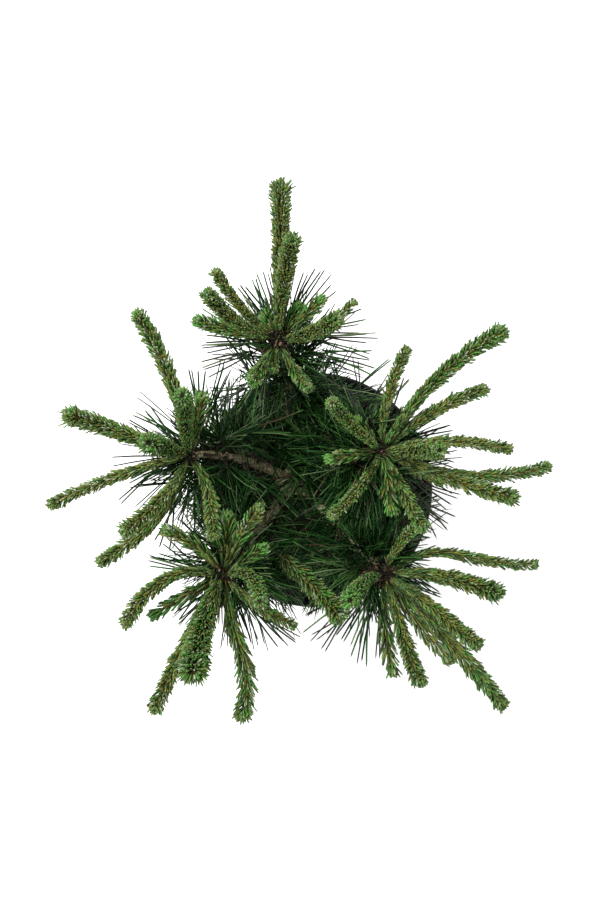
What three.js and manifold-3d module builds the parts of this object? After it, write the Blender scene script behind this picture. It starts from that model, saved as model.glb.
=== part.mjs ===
// A young mugo pine in a round five-litre nursery pot, as a scene graph of closed solids.
// Millimetres, +Z up. The origin is the centre of the pot's flat underside.
//
// Five boughs leave a short leaning trunk and curve up to five whorls. Each whorl has one broad,
// uneven mass of last year's needles below it, and this year's shoots spread from its centre.

import * as THREE from "three";
import { mergeVertices } from "three/addons/utils/BufferGeometryUtils.js";
import Module from "manifold-3d";

const wasm = await Module();
wasm.setup();

// ---- Driving dimensions ----

const gap = 0.3; // between pieces that touch

const pot = {
  height: 182,
  footRadius: 82,
  footBevel: 3,
  shoulderHeight: 163, // where the rim band steps out from the wall
  shoulderRadius: 103.5,
  stepHeight: 2,
  bandRadius: 109,
  bandTaper: 1,
  lipRadius: 113,
  lipWidth: 4,
  lipHeight: 3,
  lipBevel: 1,
  wall: 2.4,
  floor: 3,
  sides: 36,
};
const drain = { count: 6, radius: 6, circle: 58, sides: 8 };

const soil = { top: 160, levelRadius: 48, roughRadius: 78, roughness: 2.2, sides: 24 };

const trunk = {
  foot: new THREE.Vector3(-24, 6, soil.top + gap),
  top: new THREE.Vector3(-20, 9, 203),
  lean: 2.5, // sideways bulge of the stem between foot and top
  // Share of the height and share of the radius at each ring, up to the rounded fork.
  outline: [
    [0, 1],
    [0.1, 0.99],
    [0.22, 0.97],
    [0.4, 0.94],
    [0.6, 0.92],
    [0.8, 0.89],
    [0.94, 0.63],
  ],
  radius: 9.2,
  flareRadius: 15,
  flareHeight: 9,
  roots: 5, // buttresses round the flare
  rootRelief: 0.25,
  sides: 14,
};

const bough = {
  baseRadius: 5.8,
  endRadius: 3.6, // at the whorl's centre, which only the path reaches
  bendAt: 0.62, // share of the way out at which it turns up
  bendRise: 0.3, // share of the climb that it has made by then
  uneven: 0.06,
  twist: 17, // radians that the unevenness turns along it
  inMass: 0.04, // share of the path that runs inside the mass
  socketPlay: 0.01, // the same share, between its end and the socket's floor
  sides: 10,
  stations: 9,
};

const mass = {
  sides: 14,
  coverFrom: 0.46, // share of its bough's path at which it begins
  centring: 1.3, // how soon its rings come to lie under the whorl
  topDrop: 2.5, // of its rim below the whorl's centre
  footPoint: 4, // of its lowest point below its first ring
  hubRadius: 12, // the crown of buds that the shoots spring from
  hubShoulder: 5,
  hubHeight: 19,
  leastRoom: 6,
  bigLobes: 0.09,
  smallLobes: 0.07,
  // Share of the height from underside to rim, and share of the spread, at each ring.
  outline: [
    [0, 0.2],
    [0.16, 0.55],
    [0.38, 0.82],
    [0.62, 0.97],
    [0.84, 1],
    [1, 0.86],
    [0.96, 0.36],
  ],
};

const shoot = {
  sides: 7,
  start: 12.4, // from the whorl's centre to its foot
  climb: 1.3, // how late a shoot turns up towards its tip
  footShare: 0.08, // share of the rise that a shoot already has at its foot
  uneven: 0.05,
  twist: 9,
  // Share of the length, and share of the girth, at each ring.
  outline: [
    [0, 0.3],
    [0.16, 0.58],
    [0.36, 0.86],
    [0.6, 1],
    [0.84, 0.92],
    [0.96, 0.58],
  ],
};

// Radians by which the unevenness of one whorl, and one shoot, is turned from that of the last.
const turnPerWhorl = 1.9;
const turnPerShoot = 2.4;

// Each whorl: its centre, the height at which its bough leaves the trunk, the spread of its mass
// away from the plant's middle, towards it and to either side, and its shoots. A shoot's bearing
// is in degrees anticlockwise from +X. Its reach and rise run from the whorl's centre to the tip,
// its girth is over the needles, and its bow is the bulge to the left of its way out.
const whorls = [
  {
    name: "north",
    centre: [-33, 134, 312],
    leaves: 192,
    spread: { outward: 58, inward: 56, sideways: 74 },
    shoots: [
      { bearing: 89, reach: 131, rise: 45, girth: 17.5, bow: -1 },
      { bearing: 80, reach: 83, rise: 75, girth: 19.5, bow: 3 },
      { bearing: 133, reach: 80, rise: 22, girth: 12, bow: 5 },
      { bearing: 148, reach: 72, rise: 66, girth: 16.5, bow: 8 },
      { bearing: 168, reach: 74, rise: 24, girth: 14, bow: 2 },
      { bearing: 41, reach: 53, rise: 25, girth: 11, bow: 0 },
      { bearing: 13, reach: 51, rise: 65, girth: 18, bow: -3 },
      { bearing: 27, reach: 77, rise: 18, girth: 11, bow: -8 },
      { bearing: -119, reach: 46, rise: 30, girth: 17, bow: 0 },
      { bearing: -59, reach: 53, rise: 30, girth: 13, bow: -2 },
    ],
  },
  {
    name: "west",
    centre: [-109, 34, 320],
    leaves: 184,
    spread: { outward: 62, inward: 54, sideways: 60 },
    shoots: [
      { bearing: 109, reach: 126, rise: 50, girth: 16, bow: -7 },
      { bearing: 88, reach: 54, rise: 85, girth: 19, bow: 2 },
      { bearing: 75, reach: 58, rise: 42, girth: 13, bow: 0 },
      { bearing: 160, reach: 37, rise: 80, girth: 19, bow: 0 },
      { bearing: 161, reach: 107, rise: 48, girth: 18, bow: 0 },
      { bearing: -160, reach: 126, rise: 24, girth: 12, bow: -4 },
      { bearing: -129, reach: 81, rise: 64, girth: 15, bow: 6 },
      { bearing: -130, reach: 120, rise: 20, girth: 14, bow: 12 },
      { bearing: -73, reach: 73, rise: 40, girth: 12, bow: 7 },
    ],
  },
  {
    name: "east",
    centre: [56, 38, 325],
    leaves: 188,
    spread: { outward: 64, inward: 56, sideways: 62 },
    shoots: [
      { bearing: 77, reach: 89, rise: 30, girth: 11, bow: 6 },
      { bearing: 45, reach: 144, rise: 65, girth: 15, bow: 6 },
      { bearing: 31, reach: 102, rise: 26, girth: 13, bow: 6 },
      { bearing: 1, reach: 51, rise: 76, girth: 18, bow: -1 },
      { bearing: 0, reach: 109, rise: 20, girth: 11, bow: 8 },
      { bearing: -5, reach: 142, rise: 20, girth: 12, bow: -15 },
      { bearing: -20, reach: 118, rise: 58, girth: 15.5, bow: -3 },
      { bearing: -64, reach: 75, rise: 35, girth: 15, bow: 0 },
      { bearing: -131, reach: 75, rise: 45, girth: 12.5, bow: 5 },
      { bearing: 138, reach: 64, rise: 50, girth: 14, bow: 2 },
    ],
  },
  {
    name: "southwest",
    centre: [-80, -69, 322],
    leaves: 178,
    spread: { outward: 64, inward: 50, sideways: 62 },
    shoots: [
      { bearing: 141, reach: 66, rise: 30, girth: 12, bow: -6 },
      { bearing: 86, reach: 57, rise: 14, girth: 14, bow: 0 },
      { bearing: 61, reach: 71, rise: 45, girth: 10.5, bow: 3 },
      { bearing: -30, reach: 39, rise: 65, girth: 15, bow: 13 },
      { bearing: -33, reach: 75, rise: 22, girth: 11, bow: -5 },
      { bearing: -82, reach: 118, rise: 45, girth: 15, bow: 6 },
      { bearing: -103, reach: 81, rise: 105, girth: 24, bow: -6 },
      { bearing: -117, reach: 122, rise: 50, girth: 14, bow: -2 },
      { bearing: -151, reach: 76, rise: 20, girth: 11, bow: -1 },
      { bearing: -153, reach: 92, rise: 60, girth: 13, bow: -13 },
    ],
  },
  {
    name: "southeast",
    centre: [58, -67, 318],
    leaves: 186,
    spread: { outward: 66, inward: 50, sideways: 64 },
    shoots: [
      { bearing: 4, reach: 129, rise: 24, girth: 11, bow: 8 },
      { bearing: -9, reach: 99, rise: 56, girth: 17.5, bow: 6 },
      { bearing: -37, reach: 96, rise: 62, girth: 15, bow: 2 },
      { bearing: -48, reach: 147, rise: 40, girth: 16, bow: -3 },
      { bearing: -73, reach: 91, rise: 60, girth: 15, bow: -1 },
      { bearing: -85, reach: 88, rise: 20, girth: 11, bow: -3 },
      { bearing: -152, reach: 39, rise: 75, girth: 16.5, bow: -4 },
    ],
  },
];

// One shoot grows on a low twig between the two southern boughs.
const lowShoot = { foot: [-25, -60, 296], bearing: -46, reach: 70, rise: 22, girth: 13, bow: 2 };

// ---- Materials ----

const finish = (color, roughness) => new THREE.MeshStandardMaterial({ color, roughness, metalness: 0 });
const materials = {
  pot: finish(0x17191b, 0.45),
  soil: finish(0x2e2118, 1),
  bark: finish(0x5a4634, 0.9),
  oldNeedles: finish(0x1f3a20, 0.6),
  youngNeedles: finish(0x6f8a34, 0.55),
};

// ---- Solids from rings ----

/** Closed body from one pole, through rings of points, to another pole. The rings turn
 *  anticlockwise as seen from the last pole, so that every face points out. */
function skin(firstPole, rings, lastPole) {
  const sides = rings[0].length;
  const points = [firstPole, ...rings.flat(), lastPole];
  const last = points.length - 1;
  const at = (ring, side) => 1 + ring * sides + (side % sides);
  const faces = [];
  for (let side = 0; side < sides; side += 1) {
    faces.push(0, at(0, side + 1), at(0, side));
    for (let ring = 0; ring < rings.length - 1; ring += 1) {
      faces.push(at(ring, side), at(ring, side + 1), at(ring + 1, side + 1));
      faces.push(at(ring, side), at(ring + 1, side + 1), at(ring + 1, side));
    }
    faces.push(last, at(rings.length - 1, side), at(rings.length - 1, side + 1));
  }
  const geometry = new THREE.BufferGeometry().setFromPoints(points);
  geometry.setIndex(faces);
  return geometry;
}

/** Level ring about a centre, with its radius a function of the angle. */
function levelRing(centre, sides, radiusAt) {
  return Array.from({ length: sides }, (_, side) => {
    const angle = (2 * Math.PI * side) / sides;
    const radius = radiusAt(angle);
    return new THREE.Vector3(
      centre.x + radius * Math.cos(angle),
      centre.y + radius * Math.sin(angle),
      centre.z,
    );
  });
}

/** Rings square to a path, one at each station. Each ring's frame follows on from the one before,
 *  so the limb they make doesn't twist. */
function limbRings(path, stations, sides, radiusAt) {
  const step = 1e-3;
  let across = new THREE.Vector3(0.3, -0.5, 0.8);
  return stations.map((t) => {
    const along = path(t + step).sub(path(t - step)).normalize();
    across = across.clone().addScaledVector(along, -across.dot(along)).normalize();
    const up = along.clone().cross(across);
    return Array.from({ length: sides }, (_, side) => {
      const angle = (2 * Math.PI * side) / sides;
      const radius = radiusAt(t, angle);
      return path(t)
        .addScaledVector(across, radius * Math.cos(angle))
        .addScaledVector(up, radius * Math.sin(angle));
    });
  });
}

// ---- Booleans ----

/** Manifold solid of a closed geometry. Doubled points are merged and empty triangles dropped. */
function solid(geometry) {
  const bare = new THREE.BufferGeometry();
  bare.setAttribute("position", geometry.attributes.position);
  bare.setIndex(geometry.index);
  const merged = mergeVertices(bare, 1e-4);
  const index = merged.index.array;
  const kept = [];
  for (let i = 0; i < index.length; i += 3) {
    const [a, b, c] = index.slice(i, i + 3);
    if (a !== b && b !== c && c !== a) kept.push(a, b, c);
  }
  return new wasm.Manifold(
    new wasm.Mesh({
      numProp: 3,
      vertProperties: new Float32Array(merged.attributes.position.array),
      triVerts: new Uint32Array(kept),
    }),
  );
}

/** three.js geometry of a Manifold solid. */
function geometryOf(body) {
  const mesh = body.getMesh();
  const geometry = new THREE.BufferGeometry();
  geometry.setAttribute("position", new THREE.BufferAttribute(mesh.vertProperties, 3));
  geometry.setIndex(new THREE.BufferAttribute(mesh.triVerts, 1));
  return geometry;
}

function namedMesh(name, geometry, material) {
  const mesh = new THREE.Mesh(geometry, material);
  mesh.name = name;
  return mesh;
}

// ---- Pot ----

/** Inner radius of the pot's wall at a height. */
function potInside(height) {
  const share = height / pot.shoulderHeight;
  return THREE.MathUtils.lerp(pot.footRadius, pot.shoulderRadius, share) - pot.wall;
}

function potGeometry() {
  const profile = [
    [0, 0],
    [pot.footRadius - pot.footBevel, 0],
    [pot.footRadius, pot.footBevel],
    [pot.shoulderRadius, pot.shoulderHeight],
    [pot.bandRadius, pot.shoulderHeight + pot.stepHeight],
    [pot.bandRadius + pot.bandTaper, pot.height - pot.lipWidth],
    [pot.lipRadius, pot.height - pot.lipHeight],
    [pot.lipRadius, pot.height - pot.lipBevel],
    [pot.lipRadius - pot.lipBevel, pot.height],
    [pot.lipRadius - pot.lipWidth, pot.height],
    [pot.bandRadius - pot.wall, pot.height - pot.lipWidth],
    [potInside(pot.shoulderHeight), pot.shoulderHeight],
    [potInside(pot.floor), pot.floor],
    [0, pot.floor],
  ].map(([radius, height]) => new THREE.Vector2(radius, height));
  const shell = new THREE.LatheGeometry(profile, pot.sides);
  shell.rotateX(Math.PI / 2);
  let body = solid(shell);
  for (let hole = 0; hole < drain.count; hole += 1) {
    const angle = (2 * Math.PI * hole) / drain.count;
    const drill = new THREE.CylinderGeometry(drain.radius, drain.radius, 4 * pot.floor, drain.sides);
    drill.rotateX(Math.PI / 2);
    drill.translate(drain.circle * Math.cos(angle), drain.circle * Math.sin(angle), 0);
    body = body.subtract(solid(drill));
  }
  return geometryOf(body);
}

// ---- Soil: fills the pot, level round the trunk and a little rough towards the wall ----

function soilGeometry() {
  const floor = pot.floor + gap;
  const wallAt = (height) => potInside(height) - 2 * gap;
  const axis = (height) => new THREE.Vector3(0, 0, height);
  const ring = (height, radius) => levelRing(axis(height), soil.sides, () => radius);
  const edge = soil.top - soil.roughness;
  const rough = ring(soil.top, soil.roughRadius).map((point, side) => {
    point.z -= soil.roughness * Math.sin(5 * side + 1) ** 2;
    return point;
  });
  const rings = [
    ring(floor, wallAt(floor)),
    ring(edge, wallAt(edge)),
    rough,
    ring(soil.top, soil.levelRadius),
  ];
  return skin(axis(floor), rings, axis(soil.top));
}

// ---- Trunk: level cut at the soil, root flare, taper and lean ----

function trunkGeometry(grow = 0) {
  const rings = trunk.outline.map(([share, width]) => {
    const centre = trunk.foot.clone().lerp(trunk.top, share);
    centre.x -= trunk.lean * Math.sin(Math.PI * share);
    const height = centre.z - trunk.foot.z;
    const flare = (trunk.flareRadius - trunk.radius) * Math.exp(-height / trunk.flareHeight);
    return levelRing(centre, trunk.sides, (angle) => {
      const buttress = 1 - trunk.rootRelief * (1 - Math.cos(trunk.roots * angle));
      return trunk.radius * width + flare * buttress + grow;
    });
  });
  const cut = trunk.foot.clone();
  cut.z -= grow;
  rings[0].forEach((point) => (point.z -= grow));
  return skin(cut, rings, trunk.top.clone().setZ(trunk.top.z + grow));
}

// ---- Boughs: out from the trunk at a low angle, then up to the whorl ----

/** Path of a bough from inside the trunk (t = 0) to the whorl's centre (t = 1). */
function boughPath(whorl) {
  const centre = new THREE.Vector3(...whorl.centre);
  const start = trunk.top.clone().setZ(whorl.leaves);
  const bend = start.clone().lerp(centre, bough.bendAt);
  bend.z = start.z + bough.bendRise * (centre.z - start.z);
  const curve = new THREE.QuadraticBezierCurve3(start, bend, centre);
  return (t) => curve.getPoint(THREE.MathUtils.clamp(t, 0, 1));
}

function boughGeometry(whorl, from, to, grow = 0) {
  const path = boughPath(whorl);
  const stations = Array.from({ length: bough.stations }, (_, i) =>
    THREE.MathUtils.lerp(from, to, i / (bough.stations - 1)),
  );
  const radiusAt = (t, angle) => {
    const taper = THREE.MathUtils.lerp(bough.baseRadius, bough.endRadius, t);
    return taper * (1 + bough.uneven * Math.sin(2 * angle + bough.twist * t)) + grow;
  };
  const rings = limbRings(path, stations, bough.sides, radiusAt);
  return skin(path(from), rings, path(to));
}

// ---- Masses of last year's needles ----

/** How far a mass may go from a point in a direction before it meets the next whorl's mass. */
function roomTowards(whorl, from, angle) {
  const [x, y] = whorl.centre;
  let room = Infinity;
  for (const other of whorls) {
    if (other === whorl) continue;
    const apart = new THREE.Vector2(other.centre[0] - x, other.centre[1] - y);
    const middle = apart.clone().multiplyScalar(0.5).add(new THREE.Vector2(x, y));
    apart.normalize();
    const facing = apart.x * Math.cos(angle) + apart.y * Math.sin(angle);
    if (facing <= 0.05) continue;
    const left = (middle.x - from.x) * apart.x + (middle.y - from.y) * apart.y - gap;
    room = Math.min(room, left / facing);
  }
  return Math.max(room, mass.leastRoom);
}

/** Uneven bowl of needles round the end of a bough, with the crown of buds on top. */
function massGeometry(whorl, phase) {
  const { outward, inward, sideways } = whorl.spread;
  const [x, y, top] = whorl.centre;
  const wayOut = Math.atan2(y, x);
  const bottom = boughPath(whorl)(mass.coverFrom);
  const rim = top - mass.topDrop;
  const rings = mass.outline.map(([height, width], ring) => {
    const centred = Math.min(1, mass.centring * height);
    const centre = bottom.clone().lerp(new THREE.Vector3(x, y, rim), centred);
    centre.z = THREE.MathUtils.lerp(bottom.z, rim, height);
    return levelRing(centre, mass.sides, (angle) => {
      const facing = Math.cos(angle - wayOut);
      const spread = facing > 0 ? outward : inward;
      const egg = spread * facing ** 2 + sideways * (1 - facing ** 2);
      const big = mass.bigLobes * Math.sin(3 * angle + phase + 0.7 * ring);
      const small = mass.smallLobes * Math.sin(5 * angle - phase);
      return Math.min(egg * width * (1 + big + small), roomTowards(whorl, centre, angle));
    });
  });
  const shoulder = new THREE.Vector3(x, y, top + mass.hubShoulder);
  rings.push(levelRing(shoulder, mass.sides, () => mass.hubRadius));
  const foot = bottom.clone();
  foot.z -= mass.footPoint;
  return skin(foot, rings, new THREE.Vector3(x, y, top + mass.hubHeight));
}

// ---- This year's shoots ----

/** Path of a shoot from its foot (t = 0) to the tips of its last needles (t = 1). */
function shootPath(foot, { bearing, reach, rise, bow }) {
  const angle = THREE.MathUtils.degToRad(bearing);
  return (t) => {
    const out = reach * t;
    const side = 4 * bow * t * (1 - t);
    return new THREE.Vector3(
      foot[0] + out * Math.cos(angle) - side * Math.sin(angle),
      foot[1] + out * Math.sin(angle) + side * Math.cos(angle),
      foot[2] + rise * (shoot.footShare + (1 - shoot.footShare) * Math.max(t, 0) ** shoot.climb),
    );
  };
}

/** Needle-clad shoot: slim at its foot, full along its length and blunt at its tip. */
function shootGeometry(foot, size, start, phase, grow = 0) {
  const path = shootPath(foot, size);
  const from = start / Math.hypot(size.reach, size.rise);
  const along = (share) => THREE.MathUtils.lerp(from, 1, share);
  const widths = new Map(shoot.outline.map(([share, width]) => [along(share), width]));
  const radiusAt = (t, angle) => {
    const uneven = 1 + shoot.uneven * Math.sin(3 * angle + phase + shoot.twist * t);
    return (size.girth / 2) * widths.get(t) * uneven + grow;
  };
  const rings = limbRings(path, [...widths.keys()], shoot.sides, radiusAt);
  return skin(path(from), rings, path(1));
}

// ---- Assembly ----

const plant = new THREE.Group();
plant.add(namedMesh("pot", potGeometry(), materials.pot));
plant.add(namedMesh("soil", soilGeometry(), materials.soil));
plant.add(namedMesh("trunk", trunkGeometry(), materials.bark));

const trunkSleeve = solid(trunkGeometry(gap));
const lowShootSleeve = solid(shootGeometry(lowShoot.foot, lowShoot, -gap, 0, 2 * gap));

whorls.forEach((whorl, index) => {
  const end = mass.coverFrom + bough.inMass;
  let limbBody = solid(boughGeometry(whorl, 0, end)).subtract(trunkSleeve);
  whorls.slice(0, index).forEach((other) => {
    limbBody = limbBody.subtract(solid(boughGeometry(other, 0, end, gap)));
  });
  plant.add(namedMesh(`bough_${whorl.name}`, geometryOf(limbBody), materials.bark));

  const phase = turnPerWhorl * index;
  const socket = solid(boughGeometry(whorl, 0, end + bough.socketPlay, gap));
  let needles = solid(massGeometry(whorl, phase)).subtract(socket).subtract(lowShootSleeve);
  whorl.shoots.forEach((size, i) => {
    const shootPhase = phase + turnPerShoot * i;
    const shape = (grow) => shootGeometry(whorl.centre, size, shoot.start - grow, shootPhase, grow);
    plant.add(namedMesh(`shoot_${whorl.name}_${i + 1}`, shape(0), materials.youngNeedles));
    needles = needles.subtract(solid(shape(gap)));
  });
  plant.add(namedMesh(`needles_${whorl.name}`, geometryOf(needles), materials.oldNeedles));
});

plant.add(namedMesh("shoot_south_low", shootGeometry(lowShoot.foot, lowShoot, 0, 0), materials.youngNeedles));

export default plant;
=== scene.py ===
import math

import bmesh
import bpy
import numpy as np
from mathutils import Matrix, Vector, noise


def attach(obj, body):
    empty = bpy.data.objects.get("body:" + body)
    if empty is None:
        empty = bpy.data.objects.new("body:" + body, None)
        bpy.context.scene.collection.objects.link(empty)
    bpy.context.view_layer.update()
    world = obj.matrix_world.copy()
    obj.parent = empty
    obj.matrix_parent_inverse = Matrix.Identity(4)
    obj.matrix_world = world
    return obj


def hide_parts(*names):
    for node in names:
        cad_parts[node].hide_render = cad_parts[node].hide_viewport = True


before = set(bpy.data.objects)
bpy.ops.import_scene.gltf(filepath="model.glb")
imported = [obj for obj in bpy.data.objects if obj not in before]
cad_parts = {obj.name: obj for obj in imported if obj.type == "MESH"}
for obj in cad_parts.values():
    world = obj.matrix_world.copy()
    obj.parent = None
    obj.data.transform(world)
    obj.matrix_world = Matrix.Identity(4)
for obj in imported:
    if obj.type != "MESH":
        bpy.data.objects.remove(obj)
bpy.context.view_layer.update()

# ---- Pot ----
# A round nursery pot of black polypropylene, injection moulded in one shot. Its wall tapers to a flat
# foot with six drain holes, and a stepped band and a turned-out lip stiffen the mouth.


def finish(name, color, roughness, specular):
    """Material of one colour all over."""
    made = bpy.data.materials.new(name)
    made.use_nodes = True
    shader = made.node_tree.nodes["Principled BSDF"]
    shader.inputs["Base Color"].default_value = (*color, 1)
    shader.inputs["Roughness"].default_value = roughness
    shader.inputs["Specular IOR Level"].default_value = specular
    return made


def patch_group():
    """Shader group of soft patches on Object coordinates, stretched along Z, with a finer height."""
    tree = bpy.data.node_groups.new("patches", "ShaderNodeTree")
    for name, value in (("Scale", 60), ("Stretch", 1), ("Low", 0.4), ("High", 0.7), ("Fineness", 6)):
        socket = tree.interface.new_socket(name, in_out="INPUT", socket_type="NodeSocketFloat")
        socket.default_value = value
    for name in ("Mask", "Height"):
        tree.interface.new_socket(name, in_out="OUTPUT", socket_type="NodeSocketFloat")
    nodes, link = tree.nodes, tree.links.new
    given, put = nodes.new("NodeGroupInput"), nodes.new("NodeGroupOutput")
    place = nodes.new("ShaderNodeTexCoord")
    squeeze = nodes.new("ShaderNodeCombineXYZ")
    squeeze.inputs["X"].default_value = 1
    squeeze.inputs["Y"].default_value = 1
    link(given.outputs["Stretch"], squeeze.inputs["Z"])
    stretched = nodes.new("ShaderNodeVectorMath")
    stretched.operation = "MULTIPLY"
    link(place.outputs["Object"], stretched.inputs[0])
    link(squeeze.outputs["Vector"], stretched.inputs[1])
    broad = nodes.new("ShaderNodeTexNoise")
    broad.inputs["Detail"].default_value = 5
    link(stretched.outputs["Vector"], broad.inputs["Vector"])
    link(given.outputs["Scale"], broad.inputs["Scale"])
    ramp = nodes.new("ShaderNodeMapRange")
    ramp.interpolation_type = "SMOOTHSTEP"
    link(broad.outputs["Fac"], ramp.inputs["Value"])
    link(given.outputs["Low"], ramp.inputs["From Min"])
    link(given.outputs["High"], ramp.inputs["From Max"])
    finer = nodes.new("ShaderNodeMath")
    finer.operation = "MULTIPLY"
    link(given.outputs["Scale"], finer.inputs[0])
    link(given.outputs["Fineness"], finer.inputs[1])
    fine = nodes.new("ShaderNodeTexNoise")
    fine.inputs["Detail"].default_value = 3
    link(stretched.outputs["Vector"], fine.inputs["Vector"])
    link(finer.outputs["Value"], fine.inputs["Scale"])
    link(ramp.outputs["Result"], put.inputs["Mask"])
    link(fine.outputs["Fac"], put.inputs["Height"])
    return tree


patches = patch_group()


def patched(name, colors, roughness, specular, bump, depth, **values):
    """Material whose colour and roughness run between two ends by the patches, with a fine bump."""
    made = finish(name, colors[0], roughness[0], specular)
    nodes, link = made.node_tree.nodes, made.node_tree.links.new
    shader = nodes["Principled BSDF"]
    group = nodes.new("ShaderNodeGroup")
    group.node_tree = patches
    for socket, value in values.items():
        group.inputs[socket].default_value = value
    blend = nodes.new("ShaderNodeMix")
    blend.data_type = "RGBA"
    factor, first, second = (blend.inputs[place] for place in (0, 6, 7))
    first.default_value, second.default_value = ((*color, 1) for color in colors)
    link(group.outputs["Mask"], factor)
    link(blend.outputs[2], shader.inputs["Base Color"])
    rough = nodes.new("ShaderNodeMapRange")
    rough.inputs["To Min"].default_value, rough.inputs["To Max"].default_value = roughness
    link(group.outputs["Mask"], rough.inputs["Value"])
    link(rough.outputs["Result"], shader.inputs["Roughness"])
    relief = nodes.new("ShaderNodeBump")
    relief.inputs["Strength"].default_value = bump
    relief.inputs["Distance"].default_value = depth
    link(group.outputs["Height"], relief.inputs["Height"])
    link(relief.outputs["Normal"], shader.inputs["Normal"])
    return made


def mounted(name, mesh, materials, slot, *nodes):
    """Object of a finished mesh that rides on the plant's body and stands for CAD nodes."""
    for made in materials:
        mesh.materials.append(made)
    piece = bpy.data.objects.new(name, mesh)
    bpy.context.scene.collection.objects.link(piece)
    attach(piece, "root")
    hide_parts(*nodes)
    return piece


def placed(name, bm, made, slot, *nodes):
    """The same from a bmesh, smooth and of one material."""
    mesh = bpy.data.meshes.new(name)
    bm.to_mesh(mesh)
    bm.free()
    mesh.polygons.foreach_set("use_smooth", np.ones(len(mesh.polygons), bool))
    return mounted(name, mesh, [made], slot, *nodes)


def turned(outline, steps):
    """Closed shell of an outline of radii and heights that is spun round the upright axis."""
    bm = bmesh.new()
    line = [bm.verts.new((radius, 0, height)) for radius, height in outline]
    edges = [bm.edges.new(pair) for pair in zip(line, line[1:])]
    bmesh.ops.spin(
        bm,
        geom=line + edges,
        axis=(0, 0, 1),
        cent=(0, 0, 0),
        steps=steps,
        angle=2 * math.pi,
        use_merge=True,
    )
    bmesh.ops.remove_doubles(bm, verts=bm.verts, dist=1e-5)
    bmesh.ops.recalc_face_normals(bm, faces=bm.faces)
    return bm


plastic = patched(
    "black_polypropylene",
    ((0.005, 0.0055, 0.006), (0.018, 0.0185, 0.019)),
    roughness=(0.36, 0.6), specular=0.2, bump=0.12, depth=0.0004,
    Scale=34, Stretch=0.35, Low=0.42, High=0.78, Fineness=22,
)
underside = [(0, 0), (0.0792, 0), (0.082, 0.0028), (0.0838, 0.018), (0.0845, 0.0185)]
wall_and_band = [(0.1028, 0.1585), (0.1036, 0.163), (0.1089, 0.165), (0.11, 0.1775)]
lip = [(0.1128, 0.1788), (0.113, 0.1805), (0.1118, 0.182), (0.1095, 0.1819), (0.1068, 0.178)]
inside = [(0.1062, 0.1672), (0.1012, 0.163), (0.08, 0.0035), (0.079, 0.003), (0, 0.003)]
corner, edge_round, creased = math.radians(14), 0.0005, math.radians(35)
bm = turned(underside + wall_and_band + lip + inside, steps=120)
bmesh.ops.bevel(
    bm,
    geom=[e for e in bm.edges if e.is_manifold and e.calc_face_angle() > corner],
    offset=edge_round,
    offset_type="OFFSET",
    segments=2,
    profile=0.5,
    affect="EDGES",
    material=-1,
    clamp_overlap=True,
)
pot = placed("nursery_pot", bm, plastic, "pot", "pot")
pot.data.set_sharp_from_angle(angle=creased)

drain_holes, hole_radius, hole_depth, hole_circle = 6, 0.006, 0.012, 0.058
drill = bmesh.new()
for hole in range(drain_holes):
    angle = 2 * math.pi * hole / drain_holes
    centre = Matrix.Translation((hole_circle * math.cos(angle), hole_circle * math.sin(angle), 0))
    radii = {"radius1": hole_radius, "radius2": hole_radius}
    bmesh.ops.create_cone(drill, cap_ends=True, segments=28, depth=hole_depth, matrix=centre, **radii)
drill_mesh = bpy.data.meshes.new("drain_drill")
drill.to_mesh(drill_mesh)
drill.free()
driller = bpy.data.objects.new("drain_drill", drill_mesh)
bpy.context.scene.collection.objects.link(driller)
cut = pot.modifiers.new("drain_holes", "BOOLEAN")
cut.object = driller
cut.solver = "EXACT"
bpy.context.view_layer.update()
drilled = bpy.data.meshes.new_from_object(pot.evaluated_get(bpy.context.evaluated_depsgraph_get()))
pot.modifiers.clear()
pot.data = drilled
bpy.data.objects.remove(driller)

# ---- Potting mix ----
# Peat and composted bark, filled to two centimetres below the lip. Its surface is lumpy, and chips of
# bark lie loose on top.

# Painted shade: the peat is near black and a little green, darker than peat is, for the crown's shade in the
# pot.
mix = patched(
    "damp_peat",
    ((0.003, 0.0045, 0.0025), (0.014, 0.013, 0.007)),
    roughness=(0.8, 1), specular=0.2, bump=0.8, depth=0.002,
    Scale=120, Low=0.35, High=0.65, Fineness=4,
)
soil_top, soil_radius, rings, chip_sink = 0.16, 0.0994, 36, 0.0004
lump_height, lump_room, lumps_per_metre = 0.0016, 0.001, 90
wall_radius, calm_at_wall = 0.0995, 0.012
filling = [(0, 0.0033), (0.0798, 0.0033), (0.0996, 0.1575)]
filling += [(soil_radius * (1 - ring / rings), soil_top - lump_room) for ring in range(rings + 1)]
bm = turned(filling, steps=110)
for vert in bm.verts:
    if vert.co.z > soil_top - 1.5 * lump_room:
        lumps = noise.fractal(vert.co * lumps_per_metre, 1.0, 2.0, 4)
        near_wall = min(1, (wall_radius - vert.co.xy.length) / calm_at_wall)
        vert.co.z += lump_height * lumps * max(near_wall, 0)
placed("potting_mix", bm, mix, "soil", "soil")


def unit_shape(bm):
    """Corners and faces of a small shape that is repeated many times, and frees its mesh."""
    bm.verts.index_update()
    corners = np.array([v.co for v in bm.verts])
    faces = [[v.index for v in f.verts] for f in bm.faces]
    bm.free()
    return corners, faces


def unit(vectors):
    """Vectors made one long."""
    return vectors / np.maximum(np.linalg.norm(vectors, axis=-1, keepdims=True), 1e-12)


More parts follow.
